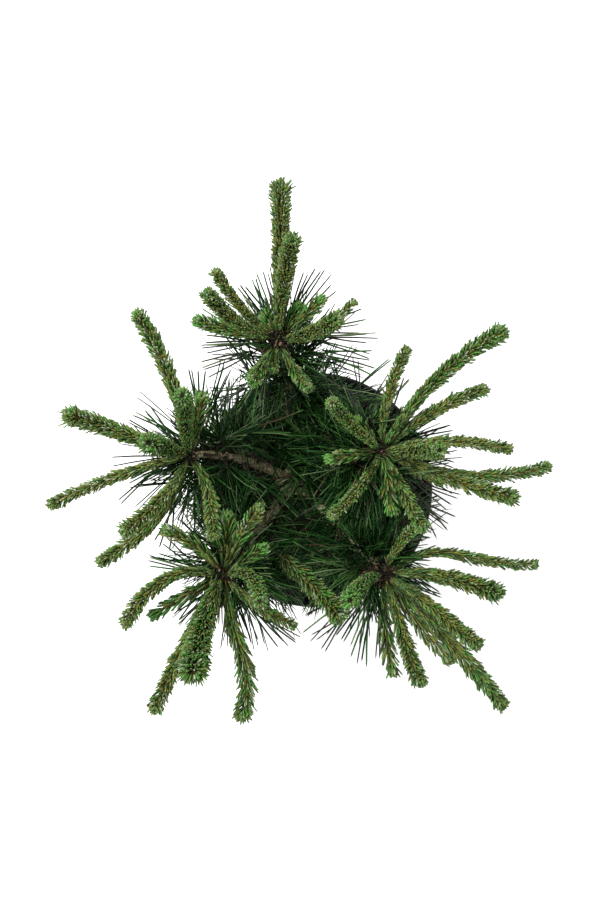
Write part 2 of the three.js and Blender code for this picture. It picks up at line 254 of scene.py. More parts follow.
def strewn(name, shape, copies, size, tints, materials, slot, *nodes, bend=0):
    """One mesh of many copies of a shape that stands on its end. Copies holds each one's origin and
    the ways that its Z and X point. Size is its thickness, width and length, bend is the shift of
    its far end, and tints are the slots of the copies or of each of their faces."""
    corners, faces = shape
    x, y, z = corners.T
    along, across = copies["along"], copies["across"]
    third = np.cross(along, across)
    points = (
        copies["origin"][:, None]
        + along[:, None] * (size[:, 2:3] * z)[:, :, None]
        + across[:, None] * (size[:, 1:2] * x)[:, :, None]
        + third[:, None] * (size[:, 0:1] * y)[:, :, None]
        + np.broadcast_to(bend, along.shape)[:, None] * (z**2)[None, :, None]
    ).reshape(-1, 3)
    count = len(along)
    loops = np.concatenate([np.array(face) for face in faces])
    offsets = (np.arange(count) * len(corners))[:, None]
    sizes = np.tile([len(face) for face in faces], count)
    starts = np.concatenate([[0], np.cumsum(sizes)[:-1]])
    slots = np.broadcast_to(np.reshape(tints, (count, -1)), (count, len(faces)))
    mesh = bpy.data.meshes.new(name)
    mesh.vertices.add(len(points))
    mesh.vertices.foreach_set("co", points.astype(np.float32).ravel())
    mesh.loops.add(count * len(loops))
    mesh.loops.foreach_set("vertex_index", (loops[None] + offsets).astype(np.int32).ravel())
    mesh.polygons.add(len(sizes))
    mesh.polygons.foreach_set("loop_start", starts.astype(np.int32))
    mesh.polygons.foreach_set("material_index", slots.astype(np.int32).ravel())
    mesh.polygons.foreach_set("use_smooth", np.ones(len(sizes), bool))
    mesh.update(calc_edges=True)
    mesh.validate()
    return mounted(name, mesh, materials, slot, *nodes)


chip_browns = [
    finish("chip_dark", (0.01, 0.007, 0.005), 0.9, 0.2),
    finish("chip_brown", (0.028, 0.016, 0.01), 0.9, 0.2),
    finish("chip_grey", (0.05, 0.038, 0.028), 0.9, 0.2),
]
chip_sizes = (0.001, 0.003), (0.0015, 0.005), (0.0004, 0.0012)
chip_count, chips_radius, chip_tilt = 1500, 0.097, 0.28
chip = bmesh.new()
bmesh.ops.create_icosphere(chip, subdivisions=1, radius=1)
rng = np.random.default_rng(41)
turn = rng.uniform(0, 2 * math.pi, chip_count)
out = chips_radius * np.sqrt(rng.uniform(0.001, 1, chip_count))
heights = np.full(chip_count, soil_top - chip_sink)
flat = unit(rng.normal(0, chip_tilt, (chip_count, 3)) + (0, 0, 1))
strewn(
    "bark_chips",
    unit_shape(chip),
    {
        "origin": np.stack([out * np.cos(turn), out * np.sin(turn), heights], 1),
        "along": flat,
        "across": unit(np.cross(flat, rng.normal(size=(chip_count, 3)))),
    },
    np.stack([rng.uniform(*ends, chip_count) for ends in chip_sizes], 1),
    rng.choice(3, chip_count, p=[0.5, 0.35, 0.15]),
    chip_browns,
    "soil",
)

# ---- Trunk and boughs ----
# A short leaning trunk flares at the soil and forks into five boughs, which leave it low and turn up
# to their whorls. The bark is scaly, dark brown in its cracks and pale grey-brown on its plates, and its
# colours are painted lighter than the bark is, to make up for the shade that the needles cast on it.

whorls = {
    "north": (-0.033, 0.134, 0.312),
    "west": (-0.109, 0.034, 0.32),
    "east": (0.056, 0.038, 0.325),
    "southwest": (-0.08, -0.069, 0.322),
    "southeast": (0.058, -0.067, 0.318),
}
# Height at which each bough leaves the trunk, how stout it is, and how far it bends northward
bough_habits = {
    "north": (0.192, 1, 0),
    "west": (0.184, 0.84, 0.014),
    "east": (0.188, 0.85, 0),
    "southwest": (0.178, 1, 0),
    "southeast": (0.186, 0.78, 0),
}
fork = np.array((-0.02, 0.009, 0.203))
trunk_foot = np.array((-0.024, 0.006, 0.1595))
trunk_height, trunk_lean = 0.043, 0.0025


def rod(sides, profile):
    """Unit rod standing on its end. The profile gives the height and the radius of each ring, and a
    radius of 0 closes it in a point."""
    bm = bmesh.new()
    bmesh.ops.create_cone(
        bm,
        cap_ends=True,
        segments=sides,
        radius1=1,
        radius2=1,
        depth=1,
        matrix=Matrix.Translation((0, 0, 0.5)),
    )
    lengthways = [e for e in bm.edges if abs(e.verts[0].co.z - e.verts[1].co.z) > 0.5]
    bmesh.ops.subdivide_edges(bm, edges=lengthways, cuts=len(profile) - 2)
    for vert in bm.verts:
        height, radius = profile[round(vert.co.z * (len(profile) - 1))]
        vert.co = (vert.co.x * radius, vert.co.y * radius, height)
    bmesh.ops.remove_doubles(bm, verts=bm.verts, dist=1e-6)
    return bm


def cross_ways(tangents):
    """Two directions square to a line at each of its points, turning as little as the line does."""
    least = np.eye(3)[np.argmin(np.abs(tangents.mean(0)))]
    side = unit(np.cross(tangents, least))
    return side, np.cross(tangents, side)


def along_line(line, share):
    """Points of a polyline and the way it runs at shares of its length, and that length."""
    steps = np.linalg.norm(np.diff(line, axis=0), axis=1)
    travelled = np.concatenate([[0], np.cumsum(steps)])
    length = travelled[-1]

    def at(distance):
        return np.stack([np.interp(distance, travelled, line[:, axis]) for axis in range(3)], 1)

    place, reach = np.asarray(share) * length, 0.02 * length
    before, after = np.clip(place - reach, 0, None), np.clip(place + reach, None, length)
    return at(place), unit(at(after) - at(before)), length


def limb(bm, line, girth, radius, sides, relief, pitch):
    """Adds a limb along a line, with scaly bark raised on it. Its radius is its girth times a
    function of the share of the way along it and the angle round it."""
    plate_width, plate_length, crack_share, apart = 0.0022, 0.0042, 0.35, 900
    plate_rise, roughness, roughness_scale, sunk = 0.55, 0.3, 1.7, 0.3
    rings = max(4, int(along_line(line, [0])[2] / pitch))
    stem = rod(sides, [(ring / rings, 1) for ring in range(rings + 1)])
    corners = np.array([v.co for v in stem.verts])
    share, angle = corners[:, 2], np.arctan2(corners[:, 1], corners[:, 0])
    points, tangents, length = along_line(line, share)
    side, up = cross_ways(tangents)
    round_it = side * np.cos(angle)[:, None] + up * np.sin(angle)[:, None]
    radii = girth * radius(share, angle)
    thickest = radii.max()
    for vert, point, way, r, s in zip(stem.verts, points, round_it, radii, share):
        spot = Vector(way) * (r / plate_width) + Vector((0, 0, s * length / plate_length))
        distances, _ = noise.voronoi(spot + Vector(line[0]) * apart)
        plate = min(1, (distances[1] - distances[0]) / crack_share)
        rough = noise.fractal(spot * roughness_scale, 1.0, 2.0, 3)
        raised = relief * (r / thickest) * (plate_rise * plate + roughness * rough - sunk)
        vert.co = Vector(point) + Vector(way) * (r + raised)
    spare = bpy.data.meshes.new("limb")
    stem.to_mesh(spare)
    stem.free()
    bm.from_mesh(spare)
    bpy.data.meshes.remove(spare)


def arc(start, bend, end, count):
    """Points of a curve from one point to another that leans towards a third."""
    t = np.linspace(0, 1, count)[:, None]
    return (1 - t) ** 2 * start + 2 * t * (1 - t) * bend + t**2 * end


def bough_line(name):
    """Curve of a bough from inside the trunk to its whorl's centre, low at first."""
    leaves, _, northward = bough_habits[name]
    start, end = np.array((fork[0], fork[1], leaves)), np.array(whorls[name])
    bend = start + (0.62, 0.62, 0.3) * (end - start)
    bend[1] += northward
    return arc(start, bend, end, 90)


def trunk_radius(share, angle):
    foot_radius, taper, root_flare, flare_height = 0.0092, 0.0012, 0.0058, 0.009
    five_roots = 0.75 + 0.25 * np.cos(5 * angle)
    flare = root_flare * np.exp(-share * trunk_height / flare_height) * five_roots
    closing = np.clip((1.02 - share) / 0.1, 0.35, 1)
    return (foot_radius - taper * share + flare) * closing


def bough_radius(share, angle):
    foot_radius, taper, unevenness, turns = 0.0054, 0.0021, 0.0003, 17
    return foot_radius - taper * share + unevenness * np.sin(2 * angle + turns * share)


wood = bmesh.new()
t = np.linspace(0, 1, 30)[:, None]
trunk_line = trunk_foot * (1 - t) + (fork + (0, 0, -0.0005)) * t
trunk_line[:, 0] -= trunk_lean * np.sin(math.pi * t[:, 0])
limb(wood, trunk_line, 1, trunk_radius, sides=56, relief=0.0011, pitch=0.0009)
boughs = {name: bough_line(name) for name in whorls}
for name, line in boughs.items():
    limb(wood, line, bough_habits[name][1], bough_radius, sides=28, relief=0.0015, pitch=0.0009)

# Painted light: both colours are lighter than the bark is, to make up for the shade that the needles cast on
# it.
bark = patched(
    "scaly_bark",
    ((0.14, 0.118, 0.064), (0.64, 0.58, 0.35)),
    roughness=(0.75, 0.95), specular=0.25, bump=0.7, depth=0.0008,
    Scale=420, Stretch=0.7, Low=0.34, High=0.68, Fineness=3,
)
bmesh.ops.recalc_face_normals(wood, faces=wood.faces)
placed("bark", wood, bark, "bark", "trunk", *("bough_" + name for name in whorls))

# ---- Last year's twigs ----
# Side twigs spring from each bough by turns: long ones spread under the whorl, and short ones fill the
# middle of the plant, low over the pot. They are last year's growth, thinner and browner than the bough.

golden = math.pi * (3 - math.sqrt(5))
# How far each whorl's twigs reach sideways, outward and inward
spreads = {
    "north": (0.034, 0.022, 0.032),
    "west": (0.026, 0.02, 0.03),
    "east": (0.028, 0.02, 0.03),
    "southwest": (0.026, 0.02, 0.028),
    "southeast": (0.028, 0.022, 0.028),
}
# Twigs that fill gaps: share of the way up the bough, bearing, reach and rise
fillers = {
    "north": [(0.5, 0, 0.055, 0.012), (0.62, -25, 0.06, 0), (0.4, 25, 0.05, 0.006)],
    "west": [(0.6, -75, 0.04, -0.02)],
    "east": [
        (0.22, 165, 0.05, 0.03),
        (0.3, 190, 0.06, 0.03),
        (0.6, 80, 0.055, 0.002),
        (0.75, 95, 0.045, -0.02),
        (0.8, -50, 0.05, -0.02),
        (0.6, -75, 0.045, 0),
    ],
    "southwest": [(0.5, -60, 0.05, 0), (0.6, 130, 0.04, -0.01)],
    "southeast": [
        (0.25, 100, 0.05, 0.03),
        (0.5, -115, 0.05, -0.004),
        (0.6, 40, 0.055, 0),
        (0.8, -95, 0.04, -0.02),
    ],
}


def bowed(start, end, sag):
    """Curve of a twig from one point to another that leaves low and turns up."""
    return arc(start, start + 0.5 * (end - start) - (0, 0, sag), end, 24)


def side_twigs(name, rng, count=11):
    """Seeded twigs that leave the end of a bough by turns and spread under its whorl."""
    sideways, outward, inward = spreads[name]
    centre, lines = np.array(whorls[name]), []
    lowest, stretch = 0.6, 0.37
    wayout = math.atan2(centre[1], centre[0])
    first = rng.uniform(0, 2 * math.pi)
    for twig in range(count):
        share = lowest + stretch * (twig + rng.uniform(0, 0.6)) / count
        start = along_line(boughs[name], [share])[0][0]
        turn = first + golden * twig
        facing = math.cos(turn - wayout)
        reach = (outward if facing > 0 else inward) * facing**2 + sideways * (1 - facing**2)
        shorter_upward = 1.15 - 0.5 * (share - 0.56)
        reach *= rng.uniform(0.75, 1.05) * shorter_upward
        end = centre + (math.cos(turn) * reach, math.sin(turn) * reach, 0)
        end[2] += rng.uniform(-0.03, -0.004)
        lines.append(bowed(start, end, rng.uniform(0.002, 0.012)))
    return lines


def inner_twigs(name, rng, count=6):
    """Seeded short twigs on the lower bough, which reach into the middle of the plant, and the ones
    that fill its gaps."""
    lines = []
    lowest, stretch, filler_sag = 0.2, 0.5, 0.004
    for twig in range(count):
        share = lowest + stretch * (twig + rng.uniform(0, 0.8)) / count
        (start,), (way,), _ = along_line(boughs[name], [share])
        aside = math.atan2(way[1], way[0]) + (-1) ** twig * rng.uniform(0.7, 2.2)
        reach = rng.uniform(0.026, 0.046)
        end = start + (math.cos(aside) * reach, math.sin(aside) * reach, rng.uniform(0.004, 0.03))
        lines.append(bowed(start, end, rng.uniform(0, 0.006)))
    for share, bearing, reach, rise in fillers[name]:
        (start,), _, _ = along_line(boughs[name], [share])
        way = math.radians(bearing)
        end = start + (reach * math.cos(way), reach * math.sin(way), rise)
        lines.append(bowed(start, end, filler_sag))
    return lines


def twig_radius(share, _):
    foot_radius, taper = 0.0021, 0.0016
    return foot_radius - taper * share


twigs, low_twigs = {}, {}
thin_wood = bmesh.new()
for seed, name in enumerate(whorls, 100):
    rng = np.random.default_rng(seed)
    twigs[name] = side_twigs(name, rng)
    low_twigs[name] = inner_twigs(name, rng)
    for line in twigs[name] + low_twigs[name]:
        limb(thin_wood, line, 1, twig_radius, sides=8, relief=0.0005, pitch=0.0022)

young_bark = patched(
    "twig_bark",
    ((0.014, 0.01, 0.006), (0.05, 0.036, 0.022)),
    roughness=(0.75, 0.95), specular=0.2, bump=0.6, depth=0.0005,
    Scale=500, Low=0.34, High=0.68, Fineness=3,
)
bmesh.ops.recalc_face_normals(thin_wood, faces=thin_wood.faces)
placed("old_twigs", thin_wood, young_bark, "bark")

# ---- Last year's needles ----
# Long dark green needles in pairs, half-round in section and lightly bowed, all round the twigs and
# the boughs, thinner lower down. Fans of them on spurs stand out under the whorls, a few dried.

# Tones of the old needles, most dealt at random. The pale ones, made narrower, are painted highlights on lit
# edges, and the grey is painted shade for needles of the fringe.
old_greens = [
    finish("old_needle_deep", (0.003, 0.02, 0.003), 0.5, 0.15),
    finish("old_needle_dark", (0.01, 0.052, 0.008), 0.48, 0.15),
    finish("old_needle_green", (0.034, 0.115, 0.018), 0.46, 0.2),
    finish("old_needle_pale", (0.13, 0.2, 0.08), 0.46, 0.2),
    finish("old_needle_grey", (0.04, 0.05, 0.032), 0.5, 0.2),
    finish("old_needle_dry", (0.25, 0.19, 0.11), 0.7, 0.2),
    finish("old_needle_dead", (0.05, 0.028, 0.016), 0.8, 0.2),
]
old_shares = [0.36, 0.26, 0.17, 0.18, 0.014, 0.004, 0.012]
pale_lit_slot, shaded_grey_slot, dry_slot = 3, 4, 5


def twice(values):
    """One row of values for each needle of the pairs."""
    return np.concatenate([values, values])


def needle_pairs(rng, line, first, last, spacing, stem, lean, length, jitter, spread=3, lift=0):
    """Needles in pairs, spiralling up a line. Lean, in degrees from the line, and length run through
    the given values from first to last."""
    total = along_line(line, [0])[2]
    count = max(2, int((last - first) * total / spacing))
    share = first + (last - first) * (np.arange(count) + 0.5) / count
    points, tangents, _ = along_line(line, share)
    side, up = cross_ways(tangents)
    turn = rng.uniform(0, 6.28) + golden * np.arange(count) + rng.normal(0, jitter, count)
    radial = side * np.cos(turn)[:, None] + up * np.sin(turn)[:, None]
    local = np.linspace(0, 1, count)
    tilt = np.radians(np.interp(local, np.linspace(0, 1, len(lean)), lean))
    tilt = tilt * (1 + rng.normal(0, 0.5 * jitter, count))
    way = tangents * np.cos(tilt)[:, None] + radial * np.sin(tilt)[:, None]
    way = unit(way + (0, 0, lift))
    across = unit(radial - way * np.sum(radial * way, 1, keepdims=True))
    third = np.cross(way, across)
    apart = np.tan(np.radians(spread * rng.uniform(0.6, 1.5, count)))[:, None]
    long = np.interp(local, np.linspace(0, 1, len(length)), length)
    long = long * (1 + rng.normal(0, 0.4 * jitter, count))
    luck = rng.uniform(size=count)
    blades = [unit(way + sign * apart * third) for sign in (1, -1)]
    return {
        "origin": twice(points + radial * stem),
        "along": np.concatenate(blades),
        "across": np.concatenate([unit(np.cross(third, blade)) for blade in blades]),
        "length": np.concatenate([long, long * rng.uniform(0.93, 1.07, count)]),
        "forward": twice(unit(tangents - way * np.sum(tangents * way, 1, keepdims=True))),
        "share": twice(share),
        "luck": twice(luck),
        "upper": twice(radial[:, 2]),
    }


def fan(centre, rng, bearing, width, pairs, radius, dry=False):
    """Needles in pairs from a spur under a whorl, which cross one another and end in an arc about
    a radius from it."""
    spur_drop, scatter, lengths, splay, tip_rise = 0.012, 0.0035, (0.044, 0.054), (1.3, 3.8), (-0.018, -0.002)
    turn = np.radians(bearing + width * (np.arange(pairs) + 0.5 - 0.5 * pairs) / max(pairs - 1, 1))
    reach = radius * rng.uniform(0.96, 1.03, pairs)
    way = math.radians(bearing)
    out = np.array((math.cos(way), math.sin(way), 0))
    inset = np.maximum(reach - rng.uniform(*lengths, pairs), 0)
    base = np.array(centre) - (0, 0, spur_drop) + out * inset[:, None]
    base[:, :2] += rng.normal(0, scatter, (pairs, 2))
    apart = np.radians(rng.uniform(*splay, pairs))
    ways = []
    for side in (turn - apart, turn + apart):
        tip = np.stack([reach * np.cos(side), reach * np.sin(side), rng.uniform(*tip_rise, pairs)], 1)
        ways.append(np.array(centre) + tip - base)
    ways = np.concatenate(ways)
    along = unit(ways)
    across = unit(np.cross(along, (0, 0, 1)))
    return {
        "origin": twice(base),
        "along": along,
        "across": across,
        "length": np.linalg.norm(ways, axis=1),
        "forward": np.cross(across, along),
        "share": np.ones(2 * pairs),
        "luck": twice(rng.uniform(size=pairs)),
        "upper": np.zeros(2 * pairs),
        "fringe": np.ones(2 * pairs, bool),
        "dry": np.full(2 * pairs, dry),
    }


def gather(bunches):
    """One bunch of needles out of several."""
    return {key: np.concatenate([bunch[key] for bunch in bunches]) for key in bunches[0]}


def chosen(bunch, keep):
    """The needles of a bunch that stay."""
    return {key: value[keep] for key, value in bunch.items()}


def part_way(bunch, share):
    """Points of a bunch's needles at a share of their length."""
    return bunch["origin"] + bunch["along"] * (bunch["length"] * share)[:, None]


def clear_of_pot(bunch):
    """Leaves out needles that would pass through the pot's wall or into the soil."""
    rim_height, rim_radius, soil_height = 0.186, 0.094, 0.163
    keep = np.ones(len(bunch["length"]), bool)
    for share in (0.0, 0.35, 0.7, 1.0):
        p = part_way(bunch, share)
        in_wall = (p[:, 2] < rim_height) & (np.hypot(p[:, 0], p[:, 1]) > rim_radius)
        keep &= ~in_wall & (p[:, 2] > soil_height)
    return chosen(bunch, keep)


def off_bough(bunch, line, clearance, spared):
    """Leaves out most of the needles that would lie over a line that is bare on top."""
    over = np.zeros(len(bunch["length"]), bool)
    for share in np.linspace(0.1, 1, 7):
        p = part_way(bunch, share)
        gaps = p[:, None, :2] - line[None, :, :2]
        away = np.hypot(gaps[..., 0], gaps[..., 1])
        over |= (away.min(1) < clearance) & (p[:, 2] > line[away.argmin(1), 2])
    return chosen(bunch, ~over | (bunch["luck"] < spared))


def thin_fringe(bunch, centre, spared, round_to):
    """Leaves out most of the needles that reach far out of the crown, and marks those that stay."""
    fringe_radius = 0.042
    tip = part_way(bunch, 1)[:, :2] - centre[:2]
    reach = np.hypot(tip[:, 0], tip[:, 1])
    outward = tip @ unit(np.array(centre[:2])) > round_to * reach
    bunch["fringe"] = (reach > fringe_radius) & outward
    return chosen(bunch, ~bunch["fringe"] | (bunch["luck"] < spared))


# Share of a whorl's fringe that stays, and how far round from its outward side it goes
fringes = {
    "north": (0.1, -0.6),
    "west": (0.12, 0),
    "east": (0.12, 0),
    "southwest": (0.12, 0),
    "southeast": (0.14, 0),
}
# Bearing, width, pairs and radius of each fan, and whether it is dry
fans = {
    "north": [
        (115, 26, 4, 0.061), (66, 9, 2, 0.067), (54, 6, 1, 0.072), (40, 5, 1, 0.07),
        (14, 9, 2, 0.075), (-1, 12, 3, 0.084), (-16, 10, 3, 0.086), (157, 2, 1, 0.075),
        (182, 10, 3, 0.07), (200, 10, 2, 0.075),
    ],
    "west": [
        (137, 12, 2, 0.061), (182, 4, 1, 0.066), (203, 6, 2, 0.061), (211, 5, 1, 0.075),
        (252, 10, 2, 0.083), (85, 6, 2, 0.075), (64, 14, 3, 0.08),
    ],
    "east": [
        (20, 3, 1, 0.068), (-8, 6, 1, 0.06), (-29, 2, 1, 0.074), (-38, 8, 2, 0.077),
        (-50, 7, 2, 0.088), (77, 4, 1, 0.068),
    ],
    "southwest": [
        (158, 7, 2, 0.063), (170, 5, 2, 0.067), (216, 6, 2, 0.059), (-72, 2, 1, 0.06),
        (-61, 2, 1, 0.063), (-53, 3, 1, 0.083), (-44, 6, 2, 0.088), (263, 12, 4, 0.049, True),
    ],
    "southeast": [
        (226, 14, 3, 0.083), (238, 8, 2, 0.074), (252, 6, 2, 0.081), (263, 2, 1, 0.073),
        (-20, 6, 1, 0.051), (28, 9, 1, 0.051),
    ],
}
# Lines that are bare on top, the clearance round them, and the share of needles left over them
bare_lines = [
    (boughs["west"][14:80], 0.007, 0.11),
    (boughs["west"][10:34], 0.0085, 0.06),
    (boughs["southwest"][16:66], 0.006, 0.16),
    (np.linspace((-0.03, -0.055, 0.292), (0.018, -0.104, 0.31), 30), 0.008, 0.2),
]
lower_bough = {"lean": (75, 62), "length": (0.04, 0.046)}
upper_bough = {"lean": (62, 54, 46), "length": (0.046, 0.05)}
long_twig = {"lean": (52, 42, 22), "length": (0.046, 0.052, 0.048)}
short_twig = {"lean": (70, 58, 36), "length": (0.04, 0.047, 0.043)}
bow_share, sway_share, fringe_sway_share = 0.09, 0.15, 0.08
old_widths, flatness, fringe_breadth, pale_lit_breadth, shaded_grey_share = (0.0006, 0.00078), 0.75, 1.28, 0.75, 0.6
old_shape = unit_shape(rod(3, [(0, 0.8), (0.3, 1), (0.64, 1), (0.94, 0.8), (1, 0)]))

for seed, name in enumerate(whorls, 200):
    rng = np.random.default_rng(seed)
    line = boughs[name]
    bunches = [
        needle_pairs(rng, line, 0.12, 0.5, spacing=0.0016, stem=0.0045, jitter=0.6, **lower_bough),
        needle_pairs(rng, line, 0.5, 0.99, spacing=0.0007, stem=0.0035, jitter=0.5, **upper_bough),
    ]
    for line in twigs[name]:
        bunches.append(needle_pairs(rng, line, 0.25, 1, spacing=0.001, stem=0.0015, jitter=0.25, **long_twig))
    for line in low_twigs[name]:
        bunches.append(needle_pairs(rng, line, 0.2, 1, spacing=0.0008, stem=0.0015, jitter=0.6, **short_twig))
    bunch = thin_fringe(clear_of_pot(gather(bunches)), whorls[name], *fringes[name])
    for bare in bare_lines:
        bunch = off_bough(bunch, *bare)
    bunch["dry"] = np.zeros(len(bunch["length"]), bool)
    bunch = gather([bunch] + [fan(whorls[name], rng, *shape) for shape in fans[name]])
    fringe, count = bunch["fringe"], len(bunch["length"])
    phase = 977 * bunch["luck"]
    sway = np.stack([np.sin(phase), np.cos(1.7 * phase), np.sin(2.3 * phase)], 1)
    sway *= np.where(fringe, fringe_sway_share, sway_share)[:, None]
    broad = rng.uniform(*old_widths, count) * np.where(fringe, fringe_breadth, 1)
    tint = rng.choice(len(old_greens), count, p=old_shares)
    # Pale needles are made narrower, as painted highlights on lit edges.
    broad *= np.where((tint == pale_lit_slot) & ~fringe, pale_lit_breadth, 1)
    # Painted shade: most needles of the fringe, which reach out over the floor, take the grey that stands for
    # their shadowed look.
    tint = np.where(fringe & (rng.uniform(size=count) < shaded_grey_share), shaded_grey_slot, tint)
    strewn(
        "old_needles_" + name,
        old_shape,
        bunch,
        np.stack([flatness * broad, broad, bunch["length"]], 1),
        np.where(bunch["dry"], dry_slot, tint),
        old_greens,
        "old_needles",
        "needles_" + name,
        bend=(bunch["forward"] * bow_share + sway) * bunch["length"][:, None],
    )

# ---- This year's shoots ----
# Straight new shoots fan out of each whorl, closely set with short needles in pairs that point
# forward. Brown papery sheaths wrap the feet of some pairs, and resinous buds end each shoot.

# Tones of the young needles. The pale tip colour is a painted highlight, and so is the yellow-olive one for
# the points of needles that face up. The husk colour is husk brown and painted shade, and the shade green is
# dealt at random and is painted shade at the feet of shoots.
young_greens = [
    finish("young_needle_foot", (0.15, 0.14, 0.03), 0.55, 0.25),
    finish("young_needle_husk", (0.052, 0.052, 0.013), 0.6, 0.25),
    finish("young_needle_shade", (0.045, 0.092, 0.025), 0.45, 0.3),
    finish("young_needle_green", (0.101, 0.172, 0.042), 0.45, 0.3),
    finish("young_needle_olive", (0.17, 0.185, 0.036), 0.45, 0.3),
    finish("young_needle_leaf", (0.172, 0.246, 0.09), 0.45, 0.3),
    finish("young_needle_tip", (0.32, 0.37, 0.245), 0.45, 0.35),
    finish("young_needle_fresh", (0.082, 0.25, 0.04), 0.45, 0.3),
]
LIT_POINT, HUSK_SHADE, SHADE, GREEN, OLIVE, LEAF, GLINT, FRESH = range(len(young_greens))
blade_kinds = [SHADE, GREEN, OLIVE, LEAF, FRESH]
# Painted highlights: the colour that the point of a needle facing up takes in the sun, for each colour of its
# blade.
sunlit_points = np.array([LIT_POINT, LIT_POINT, OLIVE, LIT_POINT, LIT_POINT, GLINT, GLINT, LEAF])

# Length and spacing of the needles, their lean from the foot of a shoot to its tuft, how much they
# rise, the size of the tuft, and the lean in it
habits = {
    "dense": (1.2, 0.00025, (14, 28, 40, 48, 54, 56, 58), 0.45, 1.18, (56, 46, 32, 12)),
    "plain": (1.5, 0.00034, (9, 18, 27, 36, 42, 46, 54), 0.25, 1.18, (56, 46, 32, 12)),
    "loose": (1.85, 0.0005, (7, 15, 22, 28, 34, 38, 44), 0.2, 1.22, (54, 44, 32, 12)),
    "open": (2.8, 0.00095, (8, 15, 22, 27, 30, 31, 30), 0.2, 2.2, (30, 23, 15, 6)),
    "stubby": (1.2, 0.0003, (40, 46, 50, 52, 54, 56, 58), 0.45, 1.18, (56, 46, 32, 12)),
}
# The shoots that aren't plain
own_habits = {
    "dense": "north_1 north_2 north_3 north_4 north_7 east_9".split(),
    "loose": "north_5 north_8 north_9 north_10 southwest_5 southwest_6 southeast_1 southeast_4".split(),
    "open": "southwest_1 southwest_2 southwest_3 southwest_9 north_6 southeast_6 west_3".split(),
}
# How yellow each shoot is, from fresh green at 0 to olive at 1
tones = {
    "north": (0.9, 0.9, 1, 0.8, 0.1, 0.1, 1, 0.6, 0.3, 0.3),
    "west": (0.45, 0.3, 0.4, 0.4, 0.6, 0.8, 0.7, 0.6, 0.8),
    "east": (0.9, 0.2, 0.85, 0.7, 0.8, 0.35, 0.95, 0.5, 0.9, 0.7),
    "southwest": (0.2, 0.1, 0.5, 0.5, 0.6, 0.4, 0.35, 0.9, 0, 0.9),
    "southeast": (0.4, 0.5, 0.9, 0.4, 0.7, 0.2, 0.1),
}
# How much painted shade darkens and dims a whorl's shoots, where it isn't the usual amount
shadows = {"west": 0.2, "southeast": 1}
usual_shade = 0.5
# How far the tips of thick shoots turn up
upturned = {
    "west_2": 0.012, "west_4": 0.014, "east_4": 0.015, "east_10": 0.012, "southwest_4": 0.014,
    "southwest_7": 0.02, "southeast_7": 0.014,
}
# How much larger than usual the tuft of a shoot is
clubs = {
    "east_2": 1.25, "east_7": 1.1, "west_5": 1.2, "west_4": 1.1, "north_1": 1.1, "north_2": 0.9,
    "southwest_6": 1.2, "southwest_10": 1.15, "southeast_2": 1.15, "southeast_5": 1.15,
}
# How much longer than usual its needles are
fuller = {
    "south_low": 1.65, "north_1": 1.08, "southwest_4": 1.15, "southwest_6": 1.2, "southwest_7": 1.3,
    "southwest_8": 1.12, "southwest_10": 1.1, "southeast_7": 1.12, "west_4": 1.12, "west_9": 1.25,
    "east_9": 0.85, "north_8": 0.85,
}
# Share of its solid's line that a shoot fills, where it isn't the whole
shortened = {
    "north_1": 0.985, "north_2": 0.95, "north_4": 0.93, "north_8": 0.95, "east_2": 0.955, "east_4": 0.885,
    "east_7": 0.965, "east_9": 0.95, "west_2": 0.95, "west_3": 0.92, "west_4": 0.88, "southwest_7": 0.94,
    "southwest_9": 0.94, "southwest_10": 0.94, "southeast_2": 0.95, "southeast_3": 0.96,
}
# How far a shoot bows to one side, and how far it swings to both
courses = {
    "east_2": (0.006, 0),
    "southwest_6": (0.001, 0.004),
    "southwest_10": (-0.01, 0),
    "southeast_1": (0.0025, -0.0055),
    "southeast_4": (0.006, 0),
}
# How far a whorl's shoots run on towards its centre from the feet of their solids
hubs = {"north": 0.35, "southeast": 0.3}
usual_hub, hub_radius = 0.65, 0.03
# Short shoots low in a whorl: habit, tone, bearing, reach, rise, girth and bow
low_shoots = {
    "north": [
        ("open", 0.1, 56, 0.037, 0.012, 0.012, 0),
        ("open", 0.1, 120, 0.028, 0.012, 0.011, 0),
        ("loose", 0.5, -100, 0.03, 0.012, 0.01, 0),
    ],
    "west": [],
    "east": [
        ("open", 0.1, -83, 0.054, 0.025, 0.0115, 0),
        ("open", 0.1, -171, 0.05, 0.02, 0.0105, 0),
        ("plain", 0.5, -27, 0.059, 0.012, 0.0135, 0),
        ("open", 0.1, 132, 0.038, 0.012, 0.011, 0),
    ],
    "southwest": [("open", 0.1, 35, 0.047, 0.02, 0.0105, 0)],
    "southeast": [
        ("plain", 0.5, 57, 0.053, 0.028, 0.011, 0.003),
        ("open", 0.5, -52.5, 0.096, 0.011, 0.0112, -0.003),
    ],
}
south_fork, south_spur = (-0.025, -0.06, 0.296), (-0.007, 0.006, -0.004)
shoot_sides = 7


